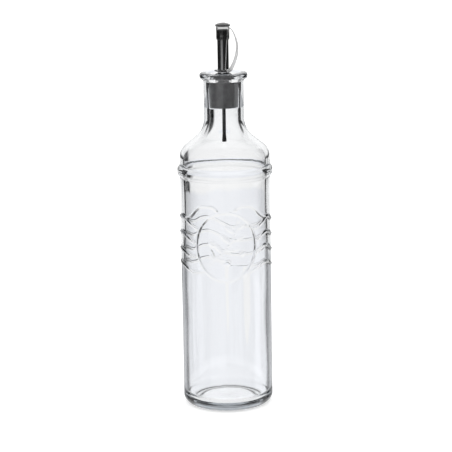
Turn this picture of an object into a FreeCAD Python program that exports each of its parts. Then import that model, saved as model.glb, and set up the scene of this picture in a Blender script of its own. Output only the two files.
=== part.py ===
"""Glass oil bottle with an embossed oval panel, and a capped pourer that plugs into its neck.

Millimetres. +Z is up, the embossed oval faces -Y, and the origin is the centre of the base.
Each node is one physical piece: the bottle, the stopper, the spout tube, the vent tube inside it,
and the clear cap with the strap and ring that keep it on the spout.
"""

import FreeCAD, Part
import math
import os

from FreeCAD import Vector

# Bottle, outside
BODY_R = 36.0
NECK_R = 16.0
RIM_R = 19.0
RIM_TOP_Z = 269.4
RIM_HEIGHT = 6.0
SHOULDER_TOP_Z = 224.0      # where the cone of the shoulder would meet the neck
SHOULDER_ANGLE = 51.0       # of that cone, from the vertical
SHOULDER_NECK_FILLET = 18.0
SHOULDER_BODY_FILLET = 12.0
HEEL_R = 7.0
PUNT_R = 27.0
PUNT_HEIGHT = 3.5
BEAD_Z = 191.3
BEAD_HALF_HEIGHT = 4.5
BEAD_HEIGHT = 2.0

# Bottle, inside
WALL = 3.6
FLOOR_Z = 6.2
FLOOR_CENTRE_Z = 7.4
BORE_R = 11.5
MOUTH_R = 12.8
BORE_TAPER_Z = 241.5        # the taper that grips the stopper runs from here to the mouth

# Embossing
RELIEF = 0.7
RELIEF_ROOT = 0.5           # how far each ridge is sunk into the wall, so that it fuses
OVAL_Z = 136.0
OVAL_HALF_WIDTH = 22.9
OVAL_HALF_HEIGHT = 27.4
RIDGE_WIDTH = 1.5
SPRIG_RELIEF = 0.35

# Pourer
STOPPER_BOTTOM_Z = 242.0
STOPPER_TOP_Z = 263.0
STOPPER_GAP = 0.06          # radial, between the stopper and the bore
BOSS_R = 6.5
BOSS_TOP_Z = 268.2
SPOUT_R = 4.55
SPOUT_WALL = 0.6
SPOUT_BOTTOM_Z = 247.5
SPOUT_TOP_Z = 303.1
VENT_R = 1.4
VENT_WALL = 0.45
VENT_BOTTOM_Z = 213.0
VENT_TOP_Z = 301.5
VENT_TIP_R = 1.75          # the tube's foot flares to this radius
VENT_TIP_LENGTH = 6.5
HUB_R = 2.3
WEB_THICKNESS = 0.9
WEB_COUNT = 3

# Cap with its strap and ring
CAP_FIT = 0.08              # radial, between the cap's or ring's bore and the spout
CAP_SKIRT_R = 5.35
CAP_BOTTOM_Z = 295.2
CAP_CEILING_Z = 306.0
CAP_BRIM_R = 6.0
CAP_BRIM_Z = 306.4
CAP_TOP_Z = 308.6
RING_R = 7.0
RING_BOTTOM_Z = 270.3
RING_THICKNESS = 1.2
STRAP_WIDTH = 3.6
STRAP_THICKNESS = 0.9
STRAP_END_GAP = 0.08        # the strap's top end stops this short of the cap, which moves

AXIS = Vector(0, 0, 1)
ORIGIN = Vector(0, 0, 0)


def filleted(corners):
    """Edges through (r, z, fillet radius) corners in the XZ plane, each corner rounded by its radius."""
    points = [Vector(r, 0, z) for r, z, _ in corners]
    edges = []
    start = points[0]
    for i in range(1, len(points) - 1):
        corner, radius = points[i], corners[i][2]
        before = (points[i - 1] - corner).normalize()
        after = (points[i + 1] - corner).normalize()
        if radius == 0:
            entry = leave = corner
        else:
            half = before.getAngle(after) / 2
            entry = corner + before * (radius / math.tan(half))
            leave = corner + after * (radius / math.tan(half))
            inward = (before + after).normalize()
            middle = corner + inward * (radius / math.sin(half) - radius)
        edges.append(Part.makeLine(start, entry))
        if radius:
            edges.append(Part.Arc(entry, middle, leave).toShape())
        start = leave
    edges.append(Part.makeLine(start, points[-1]))
    return edges


def turned(corners):
    """A solid of revolution about Z from the closed outline of these corners."""
    first = corners[0]
    outline = filleted(corners + [(first[0], first[1], 0)])
    return Part.Face(Part.Wire(outline)).revolve(ORIGIN, AXIS, 360)


def tube(outer_r, inner_r, bottom_z, top_z, rounding):
    """An open tube about Z with rounded ends."""
    return turned([
        ((outer_r + inner_r) / 2, bottom_z, 0),
        (outer_r, bottom_z, rounding),
        (outer_r, top_z, rounding),
        (inner_r, top_z, rounding),
        (inner_r, bottom_z, rounding),
    ])


def shoulder_corners(neck_r, body_r, top_z, neck_fillet, body_fillet):
    """The two corners of a shoulder, from the body up to the neck."""
    drop = (body_r - neck_r) / math.tan(math.radians(SHOULDER_ANGLE))
    return [(body_r, top_z - drop, body_fillet), (neck_r, top_z, neck_fillet)]


def glass_outline():
    """The bottle's wall in section, from the middle of the base up the outside and down the inside."""
    rim_bottom = RIM_TOP_Z - RIM_HEIGHT
    inner_r = BODY_R - WALL
    slope = math.radians(SHOULDER_ANGLE)
    inner_top_z = SHOULDER_TOP_Z - WALL / math.sin(slope) + (NECK_R - BORE_R) / math.tan(slope)
    outside = [
        (0, PUNT_HEIGHT, 0),
        (PUNT_R - 6, PUNT_HEIGHT, 12),
        (PUNT_R, 0, 1.0),
        (BODY_R, 0, HEEL_R),
        (BODY_R, BEAD_Z - BEAD_HALF_HEIGHT, 3.0),
        (BODY_R + BEAD_HEIGHT, BEAD_Z - BEAD_HALF_HEIGHT / 2, 3.5),
        (BODY_R + BEAD_HEIGHT, BEAD_Z + BEAD_HALF_HEIGHT / 2, 3.5),
        (BODY_R, BEAD_Z + BEAD_HALF_HEIGHT, 3.0),
        *shoulder_corners(NECK_R, BODY_R, SHOULDER_TOP_Z, SHOULDER_NECK_FILLET, SHOULDER_BODY_FILLET),
        (NECK_R, rim_bottom - 0.4, 1.2),
        (RIM_R, rim_bottom + 2.0, 1.6),
        (RIM_R, RIM_TOP_Z, 2.0),
        (MOUTH_R, RIM_TOP_Z, 1.4),
    ]
    inside = [
        (BORE_R, BORE_TAPER_Z, 20),
        *reversed(shoulder_corners(BORE_R, inner_r, inner_top_z, 20, 10)),
        (inner_r, FLOOR_Z, 6),
        (0, FLOOR_CENTRE_Z, 0),
    ]
    return outside + inside


def wall_shell(height):
    """The thin layer on the body that the embossing is cut from."""
    low, tall = OVAL_Z - 40, 80
    outer = Part.makeCylinder(BODY_R + height, tall, Vector(0, 0, low))
    return outer.cut(Part.makeCylinder(BODY_R - RELIEF_ROOT, tall, Vector(0, 0, low)))


def drawn_face(wire):
    """A face drawn in (u, v) and stood up so that u runs along X and v along Z."""
    face = Part.Face(wire)
    face.rotate(ORIGIN, Vector(1, 0, 0), 90)
    return face


def band(points, width=RIDGE_WIDTH):
    """A curved strip of that width, square ended, along (u, v) points."""
    rails = []
    for side in (width / 2, -width / 2):
        curve = Part.BSplineCurve()
        curve.interpolate([Vector(u, v + side, 0) for u, v in points])
        rails.append(curve.toShape())
    (first_u, first_v), (last_u, last_v) = points[0], points[-1]
    ends = [
        Part.makeLine(Vector(u, v + width / 2, 0), Vector(u, v - width / 2, 0))
        for u, v in ((first_u, first_v), (last_u, last_v))
    ]
    return drawn_face(Part.Wire(Part.__sortEdges__(rails + ends)))


def ellipse_wire(half_width, half_height, u=0.0, v=0.0, turn=0.0):
    """An ellipse in (u, v), turned anticlockwise by that many degrees."""
    long_r, short_r = max(half_width, half_height), min(half_width, half_height)
    curve = Part.Ellipse(ORIGIN, long_r, short_r).toShape()
    if half_height > half_width:
        curve.rotate(ORIGIN, AXIS, 90)
    curve.rotate(ORIGIN, AXIS, turn)
    curve.translate(Vector(u, v, 0))
    return Part.Wire(curve)


def leaf(u, v, length, width, turn):
    """A pointed leaf that starts at (u, v) and points in the direction turn, in degrees."""
    tip = Vector(length, 0, 0)
    sides = [
        Part.Arc(ORIGIN, Vector(length * 0.45, side * width / 2, 0), tip).toShape()
        for side in (1, -1)
    ]
    wire = Part.Wire(Part.__sortEdges__(sides))
    wire.rotate(ORIGIN, AXIS, turn)
    wire.translate(Vector(u, v, 0))
    return drawn_face(wire)


def front_relief(face, height):
    """The part of the shell in front of the axis that lies behind a drawn face."""
    prism = face.extrude(Vector(0, -BODY_R - 5, 0))
    return prism.common(wall_shell(height))


def side_relief(face):
    """The same on the +X side: the face's u runs along Y."""
    face.rotate(ORIGIN, AXIS, 90)
    prism = face.extrude(Vector(BODY_R + 5, 0, 0))
    return prism.common(wall_shell(RELIEF))


def oval_frame():
    """The raised line round the oval panel."""
    def solid(grow):
        wire = ellipse_wire(OVAL_HALF_WIDTH + grow, OVAL_HALF_HEIGHT + grow)
        wire.translate(Vector(0, OVAL_Z, 0))
        return front_relief(drawn_face(wire), RELIEF)
    return solid(RIDGE_WIDTH / 2).cut(solid(-RIDGE_WIDTH / 2))


# Each wave: the angle and height where it leaves the oval, and how far it climbs.
WAVES = [(34.0, 149.3, 6.2), (39.3, 138.0, 5.4), (38.6, 127.6, 4.4), (24.0, 112.8, 5.8)]

# A wave across the back: the angle from the middle of the back, and how far it has dropped from the side.
BACK_WAVE = [(-50, 7.4), (-36, 7.6), (-22, 6.6), (-9, 10.5), (4, 14.2), (18, 14.2), (34, 10.8), (50, 7.4)]


def side_height(start_z, rise):
    """A wave's height at the quarter turn."""
    return start_z + 0.72 * rise


def side_points(start_angle, start_z, rise):
    """A wave from the oval's edge round one side, as (y, z) points. Angles are from the front."""
    side_z = side_height(start_z, rise)
    turns = [
        (start_angle, start_z),
        (47, start_z + 0.32 * rise),
        (62, start_z + rise),
        (76, start_z + 0.86 * rise),
        (90, side_z),
        (105, side_z - 2.8),
        (118, side_z - 5.6),
        (134, side_z - 7.5),
    ]
    return [(-BODY_R * math.cos(math.radians(a)), z) for a, z in turns]


def back_points(start_z, rise):
    side_z = side_height(start_z, rise)
    return [(BODY_R * math.sin(math.radians(a)), side_z - drop) for a, drop in BACK_WAVE]

# The crest over each upper corner of the oval, as (angle, height).
CREST = [(12, 165.4), (21, 168.0), (32, 167.4), (41, 163.4), (49, 158.6), (57, 156.0)]


def crest_points(side):
    return [(side * BODY_R * math.sin(math.radians(a)), z) for a, z in CREST]


def sprig():
    """An olive sprig inside the oval: a stem, paired leaves and two olives."""
    stem = [(-13, 122), (-6, 128), (1, 136), (7, 145), (10, 153)]
    pieces = [front_relief(band(stem, 0.9), SPRIG_RELIEF)]
    leaves = [
        (-9, 125.5, 105), (-8, 126, -10), (-2, 132.5, 120), (-1, 133.5, 0),
        (4, 140.5, 130), (5, 141.5, 15), (8, 148, 140), (9, 149, 30),
    ]
    for u, v, turn in leaves:
        pieces.append(front_relief(leaf(u, v, 10.5, 3.4, turn), SPRIG_RELIEF))
    for u, v in ((1.5, 123.5), (-10.5, 136.5)):
        olive = ellipse_wire(2.3, 3.0, u, v, 20)
        pieces.append(front_relief(drawn_face(olive), SPRIG_RELIEF))
    return pieces


def embossing():
    """Every raised mark: the oval with its crests and sprig in front, and the waves round to the back."""
    marks = [oval_frame()]
    marks += [front_relief(band(crest_points(side)), RELIEF) for side in (1, -1)]
    marks += sprig()
    for start_angle, start_z, rise in WAVES:
        right = side_relief(band(side_points(start_angle, start_z, rise)))
        behind = front_relief(band(back_points(start_z, rise)), RELIEF)
        behind.rotate(ORIGIN, AXIS, 180)
        marks += [right, right.mirror(ORIGIN, Vector(1, 0, 0)), behind]
    return marks


def make_bottle():
    glass = turned(glass_outline())
    return glass.fuse(embossing()).removeSplitter()


def stopper_radius(z):
    """The stopper's outer radius at height z, just inside the bore's taper."""
    share = (z - BORE_TAPER_Z) / (RIM_TOP_Z - BORE_TAPER_Z)
    return BORE_R + (MOUTH_R - BORE_R) * share - STOPPER_GAP


def make_stopper():
    """The soft plug with its boss; three webs in its throat hold the vent tube on the axis."""
    throat_r = SPOUT_R - SPOUT_WALL
    plug = turned([
        (throat_r, STOPPER_BOTTOM_Z, 0),
        (stopper_radius(STOPPER_BOTTOM_Z), STOPPER_BOTTOM_Z, 0.8),
        (stopper_radius(STOPPER_TOP_Z), STOPPER_TOP_Z, 0.8),
        (BOSS_R, STOPPER_TOP_Z, 0.6),
        (BOSS_R, BOSS_TOP_Z, 0.8),
        (SPOUT_R, BOSS_TOP_Z, 0),
        (SPOUT_R, SPOUT_BOTTOM_Z, 0),
        (throat_r, SPOUT_BOTTOM_Z, 0),
    ])
    tall = SPOUT_BOTTOM_Z - STOPPER_BOTTOM_Z
    base = Vector(0, 0, STOPPER_BOTTOM_Z)
    spider = Part.makeCylinder(HUB_R, tall, base)
    for i in range(WEB_COUNT):
        web = Part.makeBox(throat_r + 0.4, WEB_THICKNESS, tall, base - Vector(0, WEB_THICKNESS / 2, 0))
        web.rotate(ORIGIN, AXIS, 360 * i / WEB_COUNT)
        spider = spider.fuse(web)
    spider = spider.cut(Part.makeCylinder(VENT_R, tall, base))
    return plug.fuse(spider).removeSplitter()


def make_spout_tube():
    return tube(SPOUT_R, SPOUT_R - SPOUT_WALL, SPOUT_BOTTOM_Z, SPOUT_TOP_Z, 0.2)


def make_vent_tube():
    flare_z = VENT_BOTTOM_Z + VENT_TIP_LENGTH
    inner_r = VENT_R - VENT_WALL
    return turned([
        (inner_r + 0.2, VENT_BOTTOM_Z, 0),
        (VENT_TIP_R, VENT_BOTTOM_Z, 0.2),
        (VENT_TIP_R, VENT_BOTTOM_Z + 1.5, 1.0),
        (VENT_R, flare_z, 4.0),
        (VENT_R, VENT_TOP_Z, 0.15),
        (inner_r, VENT_TOP_Z, 0.15),
        (inner_r, VENT_BOTTOM_Z, 0),
    ])


def make_cap():
    """A domed clear cap whose skirt slips over the spout's tip."""
    bore_r = SPOUT_R + CAP_FIT
    dome_edge_z = CAP_BRIM_Z + 0.5
    rise = CAP_TOP_Z - dome_edge_z
    dome_r = (CAP_BRIM_R ** 2 + rise ** 2) / (2 * rise)
    half_turn = math.asin(CAP_BRIM_R / dome_r) / 2
    middle = Vector(dome_r * math.sin(half_turn), 0, CAP_TOP_Z - dome_r * (1 - math.cos(half_turn)))
    edge = Vector(CAP_BRIM_R, 0, dome_edge_z)
    dome = Part.Arc(Vector(0, 0, CAP_TOP_Z), middle, edge).toShape()
    below = filleted([
        (CAP_BRIM_R, dome_edge_z, 0),
        (CAP_BRIM_R, CAP_BRIM_Z - 0.4, 0.3),
        (CAP_SKIRT_R, CAP_BRIM_Z - 0.9, 0.2),
        (CAP_SKIRT_R, CAP_BOTTOM_Z, 0.25),
        (bore_r, CAP_BOTTOM_Z, 0.2),
        (bore_r, CAP_CEILING_Z, 0.6),
        (0, CAP_CEILING_Z, 0),
    ])
    axis = Part.makeLine(Vector(0, 0, CAP_CEILING_Z), Vector(0, 0, CAP_TOP_Z))
    return Part.Face(Part.Wire([dome] + below + [axis])).revolve(ORIGIN, AXIS, 360)


def make_tether_ring():
    return tube(RING_R, SPOUT_R + CAP_FIT, RING_BOTTOM_Z, RING_BOTTOM_Z + RING_THICKNESS, 0.25)


# The strap's line: distance from the axis, angle from +X towards the front, and height. It leaves the
# ring outwards, bows round the spout and climbs to the cap's skirt just under the brim.
STRAP_LINE = [
    (RING_R - 0.1, 62, 270.9),
    (9.2, 57, 271.9),
    (11.4, 50, 275.4),
    (12.8, 40, 281.4),
    (12.8, 30, 288.0),
    (11.3, 20, 294.4),
    (9.0, 12, 299.8),
    (6.8, 7, 303.2),
    (CAP_SKIRT_R + STRAP_END_GAP, 5, 304.4),
]


def make_tether_strap():
    """A flat ribbon whose width lies along the spout's circumference."""
    points = []
    for reach, turn, z in STRAP_LINE:
        angle = -math.radians(turn)
        points.append(Vector(reach * math.cos(angle), reach * math.sin(angle), z))
    line = Part.BSplineCurve()
    line.interpolate(points)
    sections = []
    count = 17
    for i in range(count):
        share = i / (count - 1)
        where = line.FirstParameter + share * (line.LastParameter - line.FirstParameter)
        at = line.value(where)
        along = line.tangent(where)[0]
        outward = Vector(at.x, at.y, 0).normalize()
        across = along.cross(outward).normalize()
        normal = across.cross(along).normalize()
        corners = [
            at + across * (a * STRAP_WIDTH / 2) + normal * (b * STRAP_THICKNESS / 2)
            for a, b in ((1, 1), (-1, 1), (-1, -1), (1, -1))
        ]
        sections.append(Part.makePolygon(corners + corners[:1]))
    ribbon = Part.makeLoft(sections, True, False)
    keep_out = [
        Part.makeCylinder(CAP_SKIRT_R + STRAP_END_GAP, 40, Vector(0, 0, RING_BOTTOM_Z + 5)),
        Part.makeCylinder(RING_R, 5, Vector(0, 0, RING_BOTTOM_Z - 2)),
    ]
    return ribbon.cut(keep_out)


def main():
    os.makedirs("parts", exist_ok=True)
    nodes = {
        "bottle": make_bottle(),
        "stopper": make_stopper(),
        "spout_tube": make_spout_tube(),
        "vent_tube": make_vent_tube(),
        "cap": make_cap(),
        "tether_ring": make_tether_ring(),
        "tether_strap": make_tether_strap(),
    }
    for name, shape in nodes.items():
        shape.exportStep(f"parts/{name}.step")
        print(name, len(shape.Solids), "solid,", round(shape.Volume, 1), "mm3, valid", shape.isValid())
    cavity = turned([(0, FLOOR_CENTRE_Z, 0), *reversed(glass_outline()[-5:-1]), (0, RIM_TOP_Z, 0)])
    print("brim capacity", round(cavity.Volume / 1000), "ml")


main()
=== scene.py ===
"""The looks of the glass oil bottle: clear moulded glass with an embossed oval and waves, a grey stopper with
a polished steel spout and its vent tube, and a clear cap on a strap. Sizes are in millimetres until a mesh is
made, and angles are in degrees."""

import math

import bpy
import numpy as np
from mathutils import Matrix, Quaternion, Vector, noise


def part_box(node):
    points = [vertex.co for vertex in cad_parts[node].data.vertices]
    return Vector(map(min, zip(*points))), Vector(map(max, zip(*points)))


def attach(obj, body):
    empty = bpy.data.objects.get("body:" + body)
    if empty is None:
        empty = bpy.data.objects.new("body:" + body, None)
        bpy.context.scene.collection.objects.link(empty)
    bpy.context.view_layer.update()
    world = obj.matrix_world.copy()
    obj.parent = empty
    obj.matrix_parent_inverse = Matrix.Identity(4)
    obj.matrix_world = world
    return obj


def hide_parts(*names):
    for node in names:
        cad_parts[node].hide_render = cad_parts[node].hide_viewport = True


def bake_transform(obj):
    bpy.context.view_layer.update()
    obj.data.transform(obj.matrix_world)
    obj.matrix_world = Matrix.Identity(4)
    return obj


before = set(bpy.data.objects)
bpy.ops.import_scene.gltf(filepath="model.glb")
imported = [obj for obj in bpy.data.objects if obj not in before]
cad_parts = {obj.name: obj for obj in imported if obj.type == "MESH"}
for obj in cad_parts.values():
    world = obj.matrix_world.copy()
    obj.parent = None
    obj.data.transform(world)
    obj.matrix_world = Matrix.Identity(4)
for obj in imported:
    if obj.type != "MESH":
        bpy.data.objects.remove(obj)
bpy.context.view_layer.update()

MM = 0.001

# Bottle, outside
BODY_R = 36.0
NECK_R = 16.0
RIM_R = 19.0
RIM_TOP_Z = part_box("bottle")[1].z / MM
RIM_HEIGHT = 6.0
RIM_FOOT_DROP = 0.4
RIM_EDGE_RISE = 2.0
RIM_FOOT_FILLET = 1.2
RIM_EDGE_FILLET = 1.6
RIM_TOP_FILLET = 2.0
SHOULDER_TOP_Z = 224.0
SHOULDER_ANGLE = 51.0
SHOULDER_NECK_FILLET = 18.0
SHOULDER_BODY_FILLET = 12.0
HEEL_R = 7.0
PUNT_R = 27.0
PUNT_HEIGHT = 3.5
PUNT_SLOPE = 6.0
PUNT_FILLET = 12.0
STAND_FILLET = 1.0
BEAD_Z = 191.3
BEAD_HALF_HEIGHT = 4.5
BEAD_HEIGHT = 1.965
BEAD_FOOT_FILLET = 3.0
BEAD_CREST_FILLET = 3.5

# Bottle, inside
WALL = 3.6
FLOOR_Z = 6.2
FLOOR_CENTRE_Z = 7.4
FLOOR_FILLET = 6.0
BORE_R = 11.5
MOUTH_R = 12.8
MOUTH_FILLET = 1.4
BORE_TAPER_Z = 241.5
TAPER_FILLET = 20.0
INNER_NECK_FILLET = 20.0
INNER_BODY_FILLET = 10.0

# Unevenness of the inner wall: streaks as (height, count round the wall, length, shift), and where they fade.
STREAKS = [(0.22, 1.9, 70.0, (3.7, 0.0)), (0.077, 5.7, 28.0, (0.0, 3.7))]
STREAKS_TOP_Z = BORE_TAPER_Z - 12.0
STREAKS_TOP_FADE = 25.0
STREAKS_BOTTOM_Z = FLOOR_Z + 9.0
STREAKS_BOTTOM_FADE = 15.0

# Embossing, on the outside of the body
RELIEF = 0.8
RIDGE_WIDTH = 2.6
OVAL_Z = 136.0
OVAL_HALF_ANGLE = 39.5
OVAL_HALF_HEIGHT = 27.4
OVAL_FADE = 0.6
SPRIG_RELIEF = 0.4
STEM_RELIEF = 0.8 * SPRIG_RELIEF
STEM_WIDTH = 1.8
LEAF_POINTEDNESS = 0.8
MIDRIB_DEPTH = 0.45
MIDRIB_WIDTH = 0.9
OLIVE_RELIEF = 1.3 * SPRIG_RELIEF
RELIEF_LOW_Z = 104.0
RELIEF_HIGH_Z = 172.0
RELIEF_ROW = 0.5

# Fineness of the meshes
BOTTLE_COLUMNS = 480
TUBE_COLUMNS = 160
CAP_COLUMNS = 128
VENT_COLUMNS = 64
BOTTLE_ARC_STEP = 7.0
SMALL_ARC_STEP = 12.0
WALL_ROW = 7.0
TINY = 1e-6
SAME_POINT = 1e-3


# ---------------------------------------------------------------- outlines and meshes

def rounded(corners, arc_step):
    """Points along a run of (r, z, fillet radius) corners, each corner rounded by its radius."""
    points = [np.array(c[:2], float) for c in corners]
    out = [points[0]]
    for i in range(1, len(points) - 1):
        corner, radius = points[i], corners[i][2]
        if radius == 0:
            out.append(corner)
            continue
        before = points[i - 1] - corner
        after = points[i + 1] - corner
        before /= np.linalg.norm(before)
        after /= np.linalg.norm(after)
        half = math.acos(np.clip(before @ after, -1, 1)) / 2
        inward = before + after
        inward /= np.linalg.norm(inward)
        centre = corner + inward * radius / math.sin(half)
        entry = corner + before * radius / math.tan(half) - centre
        turn = math.pi - 2 * half
        side = np.sign(before[0] * after[1] - before[1] * after[0])
        steps = max(2, math.ceil(math.degrees(turn) / arc_step))
        for k in range(steps + 1):
            a = -side * turn * k / steps
            c, s = math.cos(a), math.sin(a)
            out.append(centre + np.array([c * entry[0] - s * entry[1], s * entry[0] + c * entry[1]]))
    out.append(points[-1])
    return out


def without_repeats(points):
    """The same run with each point once where two fillets meet."""
    return [p for i, p in enumerate(points) if i == 0 or np.linalg.norm(p - points[i - 1]) > SAME_POINT]


def subdivided(points, longest):
    """The same run with no piece longer than the longest allowed."""
    out = [points[0]]
    for a, b in zip(points, points[1:]):
        count = max(1, math.ceil(np.linalg.norm(b - a) / longest))
        out += [a + (b - a) * k / count for k in range(1, count + 1)]
    return out


def smooth_curve(points, per_span):
    """A Catmull-Rom curve through the points, with that many steps from each to the next."""
    p = [np.array(q, float) for q in points]
    p = [2 * p[0] - p[1]] + p + [2 * p[-1] - p[-2]]
    out = []
    for a, b, c, d in zip(p, p[1:], p[2:], p[3:]):
        for k in range(per_span):
            t = k / per_span
            out.append(0.5 * (2 * b + (c - a) * t + (2 * a - 5 * b + 4 * c - d) * t * t
                              + (3 * b - a - 3 * c + d) * t ** 3))
    out.append(p[-2])
    return np.array(out)


def new_object(name, vertices, faces, material, slot, body, *nodes):
    """A smooth mesh, in millimetres, that stands for these CAD nodes on their body. With no body named, it is
    attached to none."""
    mesh = bpy.data.meshes.new(name)
    mesh.from_pydata([tuple(v) for v in np.asarray(vertices) * MM], [], faces)
    mesh.validate()
    mesh.shade_smooth()
    piece = bpy.data.objects.new(name, mesh)
    bpy.context.scene.collection.objects.link(piece)
    mesh.materials.append(material)
    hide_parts(*nodes)
    if body:
        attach(piece, body)
    return piece


def lathe(outline, columns, offset=None):
    """Vertices and faces of an outline turned about Z. A closed outline is a ring, and one that starts and
    ends on the axis is closed there by a point. offset(angles, r, z, row) moves a row outwards."""
    angles = np.linspace(0, 2 * math.pi, columns, endpoint=False)
    on_axis = outline[0][0] < TINY
    rows = outline[1:-1] if on_axis else outline
    levels = []
    for i, (r, z) in enumerate(rows):
        reach = np.full(columns, float(r))
        if offset is not None:
            reach = reach + offset(angles, r, z, i)
        levels.append(np.stack([reach * np.sin(angles), -reach * np.cos(angles), np.full(columns, z)], 1))
    vertices = np.concatenate(levels)
    faces = []
    bands = len(rows) - 1 if on_axis else len(rows)
    for i in range(bands):
        a, b = i * columns, (i + 1) % len(rows) * columns
        for k in range(columns):
            n = (k + 1) % columns
            faces.append((a + k, a + n, b + n, b + k))
    if on_axis:
        start, end = len(vertices), len(vertices) + 1
        poles = [[0, 0, outline[0][1]], [0, 0, outline[-1][1]]]
        vertices = np.concatenate([vertices, np.array(poles, float)])
        top = (len(rows) - 1) * columns
        for k in range(columns):
            n = (k + 1) % columns
            faces.append((start, n, k))
            faces.append((end, top + k, top + n))
    return vertices, faces


# ---------------------------------------------------------------- embossing, as a height over the body

# Wave ridges on each side of the oval, as (angle from the front, height). Right is positive.
RIGHT_WAVES = [
    [(35, 149.6), (43, 149.6), (52, 152.2), (64, 156.0), (76, 154.6), (90, 151.6)],
    [(40, 139.0), (48, 141.2), (60, 144.2), (74, 142.4), (90, 139.0)],
    [(38.5, 128.4), (46, 131.2), (58, 133.8), (72, 131.2), (90, 126.6)],
    [(19, 112.2), (31, 114.6), (44, 117.4), (58, 120.0), (72, 118.2), (90, 114.4)],
]
LEFT_WAVES = [
    [(-37, 149.2), (-49, 151.9), (-63, 155.6), (-76, 156.2), (-90, 154.6)],
    [(-40, 138.0), (-48, 138.4), (-57, 140.6), (-70, 143.2), (-90, 142.0)],
    [(-39, 127.6), (-47, 126.7), (-56, 126.6), (-70, 128.8), (-90, 129.0)],
    [(-26, 116.4), (-34, 114.9), (-44, 114.2), (-54, 114.6), (-68, 117.2), (-90, 118.0)],
]
# The waves' common run across the back, as (angle from the middle of the back, height), and how far each
# wave lies above it. Right is positive, as the front sees it.
BACK_WAVE = [(70, 137.0), (52, 131.8), (33, 127.8), (12, 125.9), (0, 127.7), (-10, 131.3), (-22, 135.0),
             (-34, 135.6), (-54, 134.4), (-72, 138.2)]
BACK_OFFSETS = [11.5, 0, -11.8, -22.4]
# The crest over each upper corner of the oval.
LEFT_CREST = [(-63, 155.6), (-55, 156.9), (-47, 160.0), (-40, 164.4), (-33, 167.5), (-22, 168.2),
              (-15, 167.2), (-11.5, 164.9)]
RIGHT_CREST = [(-a, z) for a, z in LEFT_CREST]

# The olive sprig's stem, as (arc length from the front, height).
STEM = [(-14, 121), (-8, 126.5), (-1, 133), (5, 141), (8.5, 150), (9.5, 154)]
# Each leaf: where it starts on the stem, its length, its widest, and its direction in degrees.
LEAVES = [
    (-9.5, 125.2, 10.5, 3.6, 112), (-7.5, 126.8, 11.5, 3.8, -6), (-3.0, 131.2, 11.0, 3.8, 128),
    (-0.6, 133.4, 11.5, 3.8, 6), (3.6, 138.8, 11.0, 3.8, 138), (5.2, 141.2, 11.0, 3.8, 20),
    (7.4, 147.0, 10.0, 3.4, 146), (8.3, 149.4, 9.0, 3.2, 38), (9.5, 154.0, 7.5, 3.0, 84),
]
# Each olive: its centre and its direction, and the half length and half width of them all.
OLIVES = [(1.0, 123.0, 60), (-11.5, 138.5, 110), (13.5, 131.0, 70)]
OLIVE_HALF = (3.3, 2.4)


def ridge(distance, width):
    """A rounded ridge's profile: 1 on its line, 0 from half its width."""
    t = np.clip(np.abs(distance) / (width / 2), 0, 1)
    return (1 - t * t) ** 2


def distance_to(curve, s, z):
    """The distance of each point (s, z) from a polyline."""
    best = np.full(s.shape, 1e9)
    for a, b in zip(curve, curve[1:]):
        d = b - a
        t = np.clip(((s - a[0]) * d[0] + (z - a[1]) * d[1]) / (d @ d), 0, 1)
        best = np.minimum(best, np.hypot(s - a[0] - t * d[0], z - a[1] - t * d[1]))
    return best


def on_body(points):
    """A smooth curve through (angle, height) points, as (arc length, height) points."""
    return smooth_curve([(math.radians(a) * BODY_R, z) for a, z in points], per_span=6)


def wave_round(right, offset, left):
    """One wave, from the oval's right edge round the back to its left edge."""
    back = [(180 - a, z + offset) for a, z in BACK_WAVE]
    return on_body(right + back + [(360 + a, z) for a, z in reversed(left)])


WAVE_CURVES = [wave_round(*wave) for wave in zip(RIGHT_WAVES, BACK_OFFSETS, LEFT_WAVES)]
CREST_CURVES = [on_body(LEFT_CREST), on_body(RIGHT_CREST)]
STEM_CURVE = smooth_curve(STEM, per_span=12)


def from_oval(s, z):
    """How far outwards each point lies from the oval's line."""
    across = math.radians(OVAL_HALF_ANGLE) * BODY_R
    up = z - OVAL_Z
    level = np.hypot(s / across, up / OVAL_HALF_HEIGHT)
    slope = np.hypot(s / across ** 2, up / OVAL_HALF_HEIGHT ** 2) / np.maximum(level, TINY)
    return (level - 1) / np.maximum(slope, TINY)


def turned(s, z, start_s, start_z, lean):
    """How far each point lies along and aside of a line that leans that much from level."""
    c, n = math.cos(math.radians(lean)), math.sin(math.radians(lean))
    return (s - start_s) * c + (z - start_z) * n, -(s - start_s) * n + (z - start_z) * c


def leaf_height(s, z, start_s, start_z, length, width, lean):
    """A pointed leaf, domed, with a groove for its midrib."""
    along, aside = turned(s, z, start_s, start_z, lean)
    share = along / length
    half = width / 2 * np.sin(math.pi * np.clip(share, 0.001, 0.999)) ** LEAF_POINTEDNESS + 0.001
    blade = np.where((share > 0) & (share < 1), np.clip(1 - (aside / half) ** 2, 0, 1), 0)
    midrib = 1 - MIDRIB_DEPTH * ridge(aside, MIDRIB_WIDTH)
    return SPRIG_RELIEF * np.sqrt(blade) * midrib


def olive_height(s, z, centre_s, centre_z, lean):
    along, aside = turned(s, z, centre_s, centre_z, lean)
    dome = 1 - (along / OLIVE_HALF[0]) ** 2 - (aside / OLIVE_HALF[1]) ** 2
    return OLIVE_RELIEF * np.sqrt(np.clip(dome, 0, 1))


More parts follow.
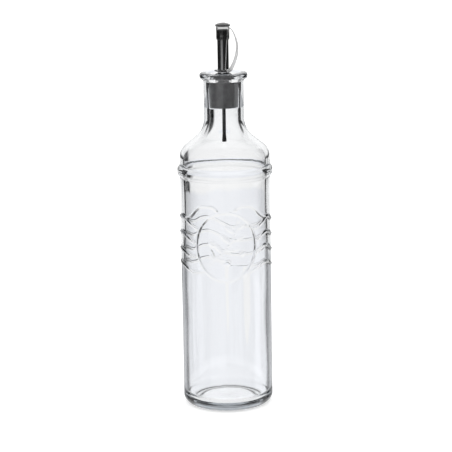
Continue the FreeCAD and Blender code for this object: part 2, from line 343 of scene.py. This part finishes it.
def relief_height(angle, z):
    """The embossing's height over one level of the body, at each angle in radians from the front."""
    turn = angle % (2 * math.pi)
    wrapped = (angle + math.pi) % (2 * math.pi) - math.pi
    in_front = np.abs(wrapped) < math.pi / 2
    s = np.where(in_front, wrapped, math.pi) * BODY_R
    outwards = from_oval(s, z)
    outside = np.where(in_front, np.clip(outwards / OVAL_FADE + 0.5, 0, 1), 1)
    heights = [RELIEF * ridge(outwards, RIDGE_WIDTH)]
    for curve in CREST_CURVES:
        heights.append(RELIEF * outside * ridge(distance_to(curve, s, z), RIDGE_WIDTH))
    for curve in WAVE_CURVES:
        if np.abs(curve[:, 1] - z).min() < RIDGE_WIDTH:
            heights.append(RELIEF * outside * ridge(distance_to(curve, turn * BODY_R, z), RIDGE_WIDTH))
    heights.append(STEM_RELIEF * ridge(distance_to(STEM_CURVE, s, z), STEM_WIDTH))
    heights += [leaf_height(s, z, *leaf) for leaf in LEAVES]
    heights += [olive_height(s, z, *olive) for olive in OLIVES]
    return np.maximum.reduce(heights)


# ---------------------------------------------------------------- the bottle

def shoulder(neck_r, body_r, top_z, neck_fillet, body_fillet):
    """The shoulder's two corners, from its foot up."""
    drop = (body_r - neck_r) / math.tan(math.radians(SHOULDER_ANGLE))
    return [(body_r, top_z - drop, body_fillet), (neck_r, top_z, neck_fillet)]


def glass_outline():
    """The wall's section: its outside run and its inside run, both as points."""
    rim_bottom = RIM_TOP_Z - RIM_HEIGHT
    inner_r = BODY_R - WALL
    slope = math.radians(SHOULDER_ANGLE)
    inner_top_z = SHOULDER_TOP_Z - WALL / math.sin(slope) + (NECK_R - BORE_R) / math.tan(slope)
    mouth_middle = (RIM_R + MOUTH_R) / 2
    outside = rounded([
        (0, PUNT_HEIGHT, 0),
        (PUNT_R - PUNT_SLOPE, PUNT_HEIGHT, PUNT_FILLET),
        (PUNT_R, 0, STAND_FILLET),
        (BODY_R, 0, HEEL_R),
        (BODY_R, BEAD_Z - BEAD_HALF_HEIGHT, BEAD_FOOT_FILLET),
        (BODY_R + BEAD_HEIGHT, BEAD_Z - BEAD_HALF_HEIGHT / 2, BEAD_CREST_FILLET),
        (BODY_R + BEAD_HEIGHT, BEAD_Z + BEAD_HALF_HEIGHT / 2, BEAD_CREST_FILLET),
        (BODY_R, BEAD_Z + BEAD_HALF_HEIGHT, BEAD_FOOT_FILLET),
        *shoulder(NECK_R, BODY_R, SHOULDER_TOP_Z, SHOULDER_NECK_FILLET, SHOULDER_BODY_FILLET),
        (NECK_R, rim_bottom - RIM_FOOT_DROP, RIM_FOOT_FILLET),
        (RIM_R, rim_bottom + RIM_EDGE_RISE, RIM_EDGE_FILLET),
        (RIM_R, RIM_TOP_Z, RIM_TOP_FILLET),
        (mouth_middle, RIM_TOP_Z, 0),
    ], BOTTLE_ARC_STEP)
    inside = rounded([
        (mouth_middle, RIM_TOP_Z, 0),
        (MOUTH_R, RIM_TOP_Z, MOUTH_FILLET),
        (BORE_R, BORE_TAPER_Z, TAPER_FILLET),
        *reversed(shoulder(BORE_R, inner_r, inner_top_z, INNER_NECK_FILLET, INNER_BODY_FILLET)),
        (inner_r, FLOOR_Z, FLOOR_FILLET),
        (0, FLOOR_CENTRE_Z, 0),
    ], BOTTLE_ARC_STEP)
    return outside, inside


def with_relief_rows(points):
    """The outside run, with close rows over the embossed height."""
    out = []
    for a, b in zip(points, points[1:]):
        out.append(a)
        if a[1] < RELIEF_LOW_Z and b[1] > RELIEF_HIGH_Z:
            count = round((RELIEF_HIGH_Z - RELIEF_LOW_Z) / RELIEF_ROW)
            heights = np.linspace(RELIEF_LOW_Z, RELIEF_HIGH_Z, count + 1)
            out += [np.array([BODY_R, z]) for z in heights]
    out.append(points[-1])
    return out


def unevenness(angles, z):
    """How far the inner wall of moulded glass wanders in and out: streaks that run up the bottle."""
    fade = np.clip((STREAKS_TOP_Z - z) / STREAKS_TOP_FADE, 0, 1)
    fade = fade * np.clip((z - STREAKS_BOTTOM_Z) / STREAKS_BOTTOM_FADE, 0, 1)
    push = np.zeros(len(angles))
    for height, count, length, (shift_x, shift_y) in STREAKS:
        for i, a in enumerate(angles):
            place = Vector((count * math.cos(a) + shift_x, count * math.sin(a) + shift_y, z / length))
            push[i] += fade * height * noise.noise(place)
    return push


def build_bottle(material):
    outside, inside = glass_outline()
    outside = without_repeats(with_relief_rows(outside))
    inside = subdivided(inside, WALL_ROW)[1:]
    outer_rows = len(outside) - 1

    def offset(angles, r, z, row):
        if row >= outer_rows:
            return unevenness(angles, z)
        if r > BODY_R - 0.01 and RELIEF_LOW_Z <= z <= RELIEF_HIGH_Z:
            return relief_height(angles, z)
        return 0

    vertices, faces = lathe(outside + inside, BOTTLE_COLUMNS, offset)
    return new_object("bottle_glass", vertices, faces, material, "glass", "bottle", "bottle")


# ---------------------------------------------------------------- the pourer

STOPPER_BOTTOM_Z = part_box("stopper")[0].z / MM
STOPPER_TOP_Z = 263.0
STOPPER_GAP = 0.06
STOPPER_FILLET = 0.8
BOSS_R = 6.5
BOSS_TOP_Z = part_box("stopper")[1].z / MM
BOSS_FOOT_FILLET = 0.6
THROAT_FILLET = 0.3
SPOUT_R = 4.55
SPOUT_WALL = 0.6
SPOUT_BOTTOM_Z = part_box("spout_tube")[0].z / MM
SPOUT_TOP_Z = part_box("spout_tube")[1].z / MM
SPOUT_FOOT_FILLET = 0.2
SPOUT_TIP_FILLET = 0.25
VENT_R = 1.4
VENT_WALL = 0.45
VENT_BOTTOM_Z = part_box("vent_tube")[0].z / MM
VENT_TOP_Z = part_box("vent_tube")[1].z / MM
VENT_TOP_FILLET = 0.15
VENT_FOOT_R = 1.73
VENT_FOOT_HEIGHT = 1.5
VENT_FOOT_EDGE = 0.2
VENT_FOOT_FILLET = 1.0
VENT_TAPER_TOP = 6.5
VENT_TAPER_FILLET = 4.0
# How far above its foot the vent tube stops being black, and where it is all grey.
VENT_BLACK_TOP = 3.0
VENT_GREY_BOTTOM = 14.0


def stopper_radius(z):
    """The stopper follows the tapered mouth, a little clear of the glass."""
    share = (z - BORE_TAPER_Z) / (RIM_TOP_Z - BORE_TAPER_Z)
    return BORE_R + (MOUTH_R - BORE_R) * share - STOPPER_GAP


def ring_outline(corners, longest=4.0):
    """A closed outline: its corners rounded, cut into short pieces, and without the repeated last point."""
    closed = corners + [(corners[0][0], corners[0][1], 0)]
    return subdivided(rounded(closed, SMALL_ARC_STEP), longest)[:-1]


def build_stopper(material):
    throat_r = SPOUT_R - SPOUT_WALL
    outline = ring_outline([
        ((throat_r + BORE_R) / 2, STOPPER_BOTTOM_Z, 0),
        (stopper_radius(STOPPER_BOTTOM_Z), STOPPER_BOTTOM_Z, STOPPER_FILLET),
        (stopper_radius(STOPPER_TOP_Z), STOPPER_TOP_Z, STOPPER_FILLET),
        (BOSS_R, STOPPER_TOP_Z, BOSS_FOOT_FILLET),
        (BOSS_R, BOSS_TOP_Z, STOPPER_FILLET),
        (SPOUT_R, BOSS_TOP_Z, 0),
        (SPOUT_R, SPOUT_BOTTOM_Z, 0),
        (throat_r, SPOUT_BOTTOM_Z, 0),
        (throat_r, STOPPER_BOTTOM_Z, THROAT_FILLET),
    ])
    vertices, faces = lathe(outline, TUBE_COLUMNS)
    return new_object("stopper_plug", vertices, faces, material, "stopper_rubber", "pourer", "stopper")


def build_spout(material):
    inner_r = SPOUT_R - SPOUT_WALL
    outline = ring_outline([
        ((inner_r + SPOUT_R) / 2, SPOUT_BOTTOM_Z, 0),
        (SPOUT_R, SPOUT_BOTTOM_Z, SPOUT_FOOT_FILLET),
        (SPOUT_R, SPOUT_TOP_Z, SPOUT_TIP_FILLET),
        (inner_r, SPOUT_TOP_Z, SPOUT_TIP_FILLET),
        (inner_r, SPOUT_BOTTOM_Z, SPOUT_FOOT_FILLET),
    ])
    vertices, faces = lathe(outline, TUBE_COLUMNS)
    return new_object("steel_spout", vertices, faces, material, "spout_steel", "pourer", "spout_tube")


def build_vent(material):
    inner_r = VENT_R - VENT_WALL
    outline = ring_outline([
        (inner_r + VENT_FOOT_EDGE, VENT_BOTTOM_Z, 0),
        (VENT_FOOT_R, VENT_BOTTOM_Z, VENT_FOOT_EDGE),
        (VENT_FOOT_R, VENT_BOTTOM_Z + VENT_FOOT_HEIGHT, VENT_FOOT_FILLET),
        (VENT_R, VENT_BOTTOM_Z + VENT_TAPER_TOP, VENT_TAPER_FILLET),
        (VENT_R, VENT_TOP_Z, VENT_TOP_FILLET),
        (inner_r, VENT_TOP_Z, VENT_TOP_FILLET),
        (inner_r, VENT_BOTTOM_Z, 0),
    ])
    vertices, faces = lathe(outline, VENT_COLUMNS)
    return new_object("vent_pipe", vertices, faces, material, "vent_plastic", "pourer", "vent_tube")


# ---------------------------------------------------------------- cap, strap and ring

CAP_FIT = 0.08
CAP_SKIRT_R = 5.35
CAP_BOTTOM_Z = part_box("cap")[0].z / MM
CAP_CEILING_Z = 306.0
CAP_BRIM_R = 5.98
CAP_BRIM_Z = 306.4
CAP_TOP_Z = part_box("cap")[1].z / MM
CAP_BRIM_RISE = 0.5
CAP_BRIM_LIP = 0.4
CAP_BRIM_FOOT = 0.9
CAP_BRIM_FILLET = 0.3
CAP_EDGE_FILLET = 0.2
CAP_FOOT_FILLET = 0.25
CAP_CEILING_FILLET = 0.6
CAP_LONGEST = 2.5
DOME_STEPS = 16
RING_R = 7.0
RING_BOTTOM_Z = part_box("tether_ring")[0].z / MM
RING_TOP_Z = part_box("tether_ring")[1].z / MM
RING_FILLET = 0.3
STRAP_WIDTH = 3.5
STRAP_THICKNESS = 0.85
# The strap's middle line, as (radius, angle to the front from the right, height).
STRAP_LINE = [
    (RING_R - 0.2, 62, 270.9),
    (9.2, 57, 271.9),
    (11.4, 50, 275.4),
    (12.8, 40, 281.4),
    (12.8, 30, 288.0),
    (11.3, 20, 294.4),
    (9.0, 12, 299.8),
    (6.8, 7, 303.2),
    (CAP_SKIRT_R - 0.1, 5, 304.3),
]


def build_cap(material):
    bore_r = SPOUT_R + CAP_FIT
    edge_z = CAP_BRIM_Z + CAP_BRIM_RISE
    rise = CAP_TOP_Z - edge_z
    dome_r = (CAP_BRIM_R ** 2 + rise ** 2) / (2 * rise)
    spread = math.asin(CAP_BRIM_R / dome_r)
    dome = []
    for k in range(DOME_STEPS + 1):
        a = spread * k / DOME_STEPS
        dome.append(np.array([dome_r * math.sin(a), CAP_TOP_Z - dome_r * (1 - math.cos(a))]))
    below = rounded([
        (CAP_BRIM_R, edge_z, 0),
        (CAP_BRIM_R, CAP_BRIM_Z - CAP_BRIM_LIP, CAP_BRIM_FILLET),
        (CAP_SKIRT_R, CAP_BRIM_Z - CAP_BRIM_FOOT, CAP_EDGE_FILLET),
        (CAP_SKIRT_R, CAP_BOTTOM_Z, CAP_FOOT_FILLET),
        (bore_r, CAP_BOTTOM_Z, CAP_EDGE_FILLET),
        (bore_r, CAP_CEILING_Z, CAP_CEILING_FILLET),
        (0, CAP_CEILING_Z, 0),
    ], SMALL_ARC_STEP)
    outline = (dome + subdivided(below, CAP_LONGEST)[1:])[::-1]
    vertices, faces = lathe(outline, CAP_COLUMNS)
    return new_object("clear_cap", vertices, faces, material, "clear_plastic", "cap", "cap")


def build_ring(material):
    bore_r = SPOUT_R + CAP_FIT
    outline = ring_outline([
        ((RING_R + SPOUT_R) / 2, RING_BOTTOM_Z, 0),
        (RING_R, RING_BOTTOM_Z, RING_FILLET),
        (RING_R, RING_TOP_Z, RING_FILLET),
        (bore_r, RING_TOP_Z, RING_FILLET),
        (bore_r, RING_BOTTOM_Z, RING_FILLET),
    ], longest=1.0)
    vertices, faces = lathe(outline, CAP_COLUMNS)
    return new_object("strap_ring", vertices, faces, material, "clear_plastic", "tether", "tether_ring")


def ribbon_section(width, thickness, steps=5):
    """A flat section with round edges, as (across, through) points."""
    radius = thickness / 2
    points = []
    for side in (1, -1):
        for k in range(steps + 1):
            a = math.pi / 2 - math.pi * k / steps
            points.append((side * (width / 2 - radius + radius * math.cos(a)), side * radius * math.sin(a)))
    return points


def build_strap(material):
    line = smooth_curve([
        (reach * math.cos(math.radians(turn)), -reach * math.sin(math.radians(turn)), z)
        for reach, turn, z in STRAP_LINE
    ], per_span=7)
    section = ribbon_section(STRAP_WIDTH, STRAP_THICKNESS)
    count = len(section)
    vertices = []
    for i, at in enumerate(line):
        along = line[min(i + 1, len(line) - 1)] - line[max(i - 1, 0)]
        along = along / np.linalg.norm(along)
        outward = np.array([at[0], at[1], 0.0])
        across = np.cross(along, outward)
        across = across / np.linalg.norm(across)
        normal = np.cross(across, along)
        vertices += [at + across * a + normal * b for a, b in section]
    faces = []
    for i in range(len(line) - 1):
        for k in range(count):
            n = (k + 1) % count
            faces.append((i * count + k, i * count + n, (i + 1) * count + n, (i + 1) * count + k))
    faces.append(tuple(range(count))[::-1])
    last = (len(line) - 1) * count
    faces.append(tuple(range(last, last + count)))
    piece = new_object("clear_strap", vertices, faces, material, "clear_plastic", None, "tether_strap")
    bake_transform(piece)
    return piece


# ---------------------------------------------------------------- materials

def new_material(name, **values):
    """A Principled material with those socket values, and its shader."""
    material = bpy.data.materials.new(name)
    material.use_nodes = True
    shader = material.node_tree.nodes["Principled BSDF"]
    for socket, value in values.items():
        shader.inputs[socket.replace("_", " ")].default_value = value
    return material, shader


def add(material, kind, **inputs):
    """A new node with those socket values, in a material or a world."""
    node = material.node_tree.nodes.new(kind)
    for socket, value in inputs.items():
        node.inputs[socket.replace("_", " ")].default_value = value
    return node


def link(material, source, output, target, socket):
    material.node_tree.links.new(source.outputs[output], target.inputs[socket])


def object_noise(material, scale, detail, stretch=(1, 1, 1)):
    """Noise over the object's own coordinates, stretched by those factors."""
    where = add(material, "ShaderNodeTexCoord")
    mapping = add(material, "ShaderNodeMapping", Scale=stretch)
    pattern = add(material, "ShaderNodeTexNoise", Scale=scale, Detail=detail)
    link(material, where, "Object", mapping, "Vector")
    link(material, mapping, "Vector", pattern, "Vector")
    return pattern


def to_range(material, source, output, low, high, start=0.0, end=1.0):
    """The source's value, moved from start..end to low..high."""
    node = add(material, "ShaderNodeMapRange", From_Min=start, From_Max=end, To_Min=low, To_Max=high)
    link(material, source, output, node, "Value")
    return node


def vary_roughness(material, shader, pattern, low, high, start=0.0, end=1.0):
    roughness = to_range(material, pattern, "Fac", low, high, start, end)
    link(material, roughness, "Result", shader, "Roughness")


def vary_colour(material, shader, source, output, dark, light, start=0.0, end=1.0):
    """The base colour goes from dark to light as the source's value goes from start to end."""
    ramp = add(material, "ShaderNodeValToRGB")
    for element, position, colour in zip(ramp.color_ramp.elements, (start, end), (dark, light)):
        element.position = position
        element.color = (*colour, 1)
    link(material, source, output, ramp, "Fac")
    link(material, ramp, "Color", shader, "Base Color")


def add_bump(material, shader, pattern, distance, strength):
    bump = add(material, "ShaderNodeBump", Strength=strength, Distance=distance)
    link(material, pattern, "Fac", bump, "Height")
    link(material, bump, "Normal", shader, "Normal")


def absorb(material, shade, density):
    """The body of a clear material takes up light with depth."""
    volume = add(material, "ShaderNodeVolumeAbsorption", Color=(*shade, 1), Density=density)
    link(material, volume, "Volume", material.node_tree.nodes["Material Output"], "Volume")


def glass_material():
    """Clear glass with a hazy film here and there."""
    material, shader = new_material(
        "moulded_glass", Base_Color=(1, 1, 1, 1), Transmission_Weight=1.0, IOR=1.51, Roughness=0.0,
    )
    film = object_noise(material, 60, 3, (1, 1, 0.3))
    vary_roughness(material, shader, film, 0.0, 0.012, 0.45, 0.8)
    absorb(material, (0.60, 0.63, 0.66), 36.0)
    return material


def clear_plastic_material():
    """Clear plastic, a little smoky."""
    material, shader = new_material(
        "clear_plastic", Base_Color=(0.90, 0.90, 0.90, 1), Transmission_Weight=1.0, IOR=1.47, Roughness=0.05,
    )
    grain = object_noise(material, 900, 2)
    vary_roughness(material, shader, grain, 0.015, 0.05)
    add_bump(material, shader, grain, 0.00001, 0.4)
    absorb(material, (0.5, 0.5, 0.5), 372.0)
    return material


def strap_material():
    """The same plastic where flexing has turned it a little milky."""
    material, shader = new_material("strap_plastic", Transmission_Weight=0.45, IOR=1.47, Roughness=0.3)
    cloud = object_noise(material, 300, 3)
    vary_colour(material, shader, cloud, "Fac", (0.62, 0.62, 0.62), (0.74, 0.74, 0.74))
    vary_roughness(material, shader, cloud, 0.25, 0.4)
    return material


def rubber_material():
    """Dull grey rubber with a fine grain."""
    material, shader = new_material("stopper_rubber", Roughness=0.5, Specular_IOR_Level=0.1)
    mottle = object_noise(material, 240, 5)
    vary_colour(material, shader, mottle, "Fac", (0.115, 0.115, 0.118), (0.165, 0.165, 0.168), 0.3, 0.75)
    vary_roughness(material, shader, mottle, 0.42, 0.6)
    grain = object_noise(material, 2600, 2)
    add_bump(material, shader, grain, 0.00004, 0.5)
    return material


def steel_material():
    """Polished steel, faintly brushed along the tube."""
    material, shader = new_material("polished_steel", Metallic=1.0, Roughness=0.08)
    brushing = object_noise(material, 900, 3, (1, 1, 0.02))
    vary_colour(material, shader, brushing, "Fac", (0.55, 0.55, 0.555), (0.68, 0.68, 0.69))
    vary_roughness(material, shader, brushing, 0.05, 0.16)
    add_bump(material, shader, brushing, 0.00001, 0.4)
    return material


def vent_material():
    """Dark grey plastic that goes black towards the tube's foot."""
    material, shader = new_material("vent_plastic", Roughness=0.35, IOR=1.5)
    where = add(material, "ShaderNodeTexCoord")
    split = add(material, "ShaderNodeSeparateXYZ")
    link(material, where, "Object", split, "Vector")
    black_z = (VENT_BOTTOM_Z + VENT_BLACK_TOP) * MM
    grey_z = (VENT_BOTTOM_Z + VENT_GREY_BOTTOM) * MM
    up = to_range(material, split, "Z", 0.0, 1.0, black_z, grey_z)
    vary_colour(material, shader, up, "Result", (0.004, 0.004, 0.004), (0.045, 0.045, 0.047))
    vary_roughness(material, shader, object_noise(material, 1500, 3), 0.28, 0.45)
    return material


# ---------------------------------------------------------------- stage, light and camera

STAGE_HALF = 40.0
STAGE_Z = -0.0002


def build_floor():
    """A white floor that the glass neither refracts nor mirrors: those rays see the studio instead."""
    material, _ = new_material(
        "stage_white", Base_Color=(0.93, 0.93, 0.93, 1), Roughness=1.0, Specular_IOR_Level=0.0,
        Emission_Color=(1, 1, 1, 1), Emission_Strength=0.3,
    )
    mesh = bpy.data.meshes.new("floor")
    corners = [(x * STAGE_HALF, y * STAGE_HALF, STAGE_Z) for x, y in ((-1, -1), (1, -1), (1, 1), (-1, 1))]
    mesh.from_pydata(corners, [], [(0, 1, 2, 3)])
    mesh.materials.append(material)
    floor = bpy.data.objects.new("floor", mesh)
    bpy.context.scene.collection.objects.link(floor)
    floor.visible_glossy = False
    floor.visible_transmission = False


# The studio's brightness by the direction that a ray leaves the bottle in, as (compass angle, shade). Compass
# angles are clockwise from +Y, so 0 is straight behind the bottle in the main picture.
STUDIO_LIGHT = 1.15
WHITE = (1.0, 1.0, 1.0)
BODY_TINT = (0.955, 0.968, 1.0)
# What shows through the glass: black flags beside the neck, a pale wall behind the body, and a wall above.
NECK_WALL = [(-180, 1), (-72, 1), (-68, 0), (-14, 0), (-10, 1), (33, 1), (36, 0), (68, 0), (72, 1), (180, 1)]
BODY_WALL = [(-180, 1), (-72, 1), (-50, 0.72), (-12, 0.84), (-5, 0.98), (7, 0.98), (14, 0.9), (50, 0.72),
             (72, 1), (180, 1)]
HIGH_WALL = [(-76, 0.95), (-70, 0.1), (-42, 0.1), (-36, 0.95), (36, 0.95), (42, 0.1), (70, 0.1), (76, 0.95)]
# What is mirrored in the glass and the steel: a tall softbox in front, and the same wall behind the bottle.
SOFTBOX = [(-180, 0.015), (-173, 0.38), (-135, 0.38), (-132, 0.015)]
NECK_MIRRORED = SOFTBOX + [(-36, 0.015), (-32, 0.9), (32, 0.9), (36, 0.015)]
BODY_MIRRORED = SOFTBOX + [(-60, 0.9), (-57, 0.02), (-46, 0.02), (-42, 0.35), (-30, 0.5), (30, 0.5),
                           (42, 0.35), (46, 0.02), (57, 0.02), (60, 0.9), (100, 0.9), (105, 0.015)]
LEVEL_MIRRORED = [(-24, 0.02), (-16, 0.6), (16, 0.6), (20, 0.02)]
HIGH_MIRRORED = [(-44, 0.1), (-36, 0.95), (36, 0.95), (44, 0.1)]
# What steep rays down meet.
LOW_WALL = 0.9
# The elevations over which each of them gives way to its neighbour.
LOW_ELEVATION = (-48.0, -34.0)
UNDER_ELEVATION = (-24.0, -18.0)
NECK_MIRRORED_ELEVATION = (-13.2, -12.8)
NECK_WALL_ELEVATION = (-10.9, -10.5)
LEVEL_ELEVATION = (-7.2, -6.4)
HIGH_ELEVATION = (-1.3, 1.0)


def build_world():
    """A studio whose brightness depends on a ray's direction, and on whether the glass let it through or
    mirrored it. The camera itself and everything dull see plain white."""
    world = bpy.data.worlds.new("studio")
    bpy.context.scene.world = world
    world.use_nodes = True
    world.cycles.sampling_method = "NONE"
    links = world.node_tree.links
    where = add(world, "ShaderNodeTexCoord")
    split = add(world, "ShaderNodeSeparateXYZ")
    link(world, where, "Generated", split, "Vector")
    compass = add(world, "ShaderNodeMath")
    compass.operation = "ARCTAN2"
    links.new(split.outputs["X"], compass.inputs[0])
    links.new(split.outputs["Y"], compass.inputs[1])
    turn = to_range(world, compass, "Value", 0.0, 1.0, -math.pi, math.pi)

    def by_compass(shades, tint=WHITE):
        """The tint, as bright as those shades are at the ray's compass angle."""
        ramp = add(world, "ShaderNodeValToRGB")
        elements = ramp.color_ramp.elements
        elements.remove(elements[1])
        for i, (angle, shade) in enumerate(shades):
            position = (angle + 180) / 360
            element = elements[0] if i == 0 else elements.new(position)
            element.position = position
            element.color = (shade * tint[0], shade * tint[1], shade * tint[2], 1)
        link(world, turn, "Result", ramp, "Fac")
        return ramp.outputs["Color"]

    def above(elevations):
        """0 below the first elevation and 1 above the second."""
        low, high = (math.sin(math.radians(e)) for e in elevations)
        return to_range(world, split, "Z", 0.0, 1.0, low, high).outputs["Result"]

    def mixed(share, first, second):
        """The first colour at share 0 and the second at share 1, where each is a socket or one grey."""
        node = add(world, "ShaderNodeMix")
        node.data_type = "RGBA"
        links.new(share, node.inputs[0])
        for socket, value in ((node.inputs[6], first), (node.inputs[7], second)):
            if isinstance(value, float):
                socket.default_value = (value, value, value, 1)
            else:
                links.new(value, socket)
        return node.outputs[2]

    path = add(world, "ShaderNodeLightPath")
    body_wall = by_compass(BODY_WALL, BODY_TINT)
    through = mixed(above(NECK_WALL_ELEVATION), body_wall, by_compass(NECK_WALL))
    through = mixed(above(LOW_ELEVATION), LOW_WALL, through)
    through = mixed(above(HIGH_ELEVATION), through, by_compass(HIGH_WALL))
    body_mirrored = by_compass(BODY_MIRRORED, BODY_TINT)
    mirrored = mixed(above(NECK_MIRRORED_ELEVATION), body_mirrored, by_compass(NECK_MIRRORED))
    mirrored = mixed(above(LEVEL_ELEVATION), mirrored, by_compass(LEVEL_MIRRORED))
    mirrored = mixed(above(UNDER_ELEVATION), LOW_WALL, mirrored)
    mirrored = mixed(above(HIGH_ELEVATION), mirrored, by_compass(HIGH_MIRRORED))
    seen = mixed(path.outputs["Glossy Depth"], through, mirrored)
    seen = mixed(path.outputs["Diffuse Depth"], seen, 1.0)
    seen = mixed(path.outputs["Is Camera Ray"], seen, 1.0)
    background = world.node_tree.nodes["Background"]
    links.new(seen, background.inputs["Color"])
    background.inputs["Strength"].default_value = STUDIO_LIGHT


CAMERA_DISTANCE = 1520.0
CAMERA_HEIGHT = 478.0
CAMERA_PITCH = 12.35
CAMERA_ROLL = -0.9
CAMERA_LENS = 154.6
CAMERA_SIDE = 0.2


def build_camera():
    data = bpy.data.cameras.new("camera")
    data.lens = CAMERA_LENS
    data.sensor_width = 36.0
    data.clip_end = 200.0
    camera = bpy.data.objects.new("camera", data)
    bpy.context.scene.collection.objects.link(camera)
    camera.location = (CAMERA_SIDE * MM, -CAMERA_DISTANCE * MM, CAMERA_HEIGHT * MM)
    camera.rotation_mode = "QUATERNION"
    tilt = Quaternion((1, 0, 0), math.radians(90 - CAMERA_PITCH))
    roll = Quaternion((0, 0, 1), math.radians(CAMERA_ROLL))
    camera.rotation_quaternion = tilt @ roll
    bpy.context.scene.camera = camera


def set_look():
    scene = bpy.context.scene
    scene.view_settings.view_transform = "Standard"
    scene.view_settings.look = "None"
    scene.cycles.max_bounces = 32
    scene.cycles.transmission_bounces = 32
    scene.cycles.glossy_bounces = 16
    scene.cycles.transparent_max_bounces = 16
    scene.cycles.use_denoising = True


glass = glass_material()
clear = clear_plastic_material()
build_bottle(glass)
build_stopper(rubber_material())
build_spout(steel_material())
build_vent(vent_material())
build_cap(clear)
build_ring(clear)
build_strap(strap_material())
build_floor()
build_world()
build_camera()
set_look()
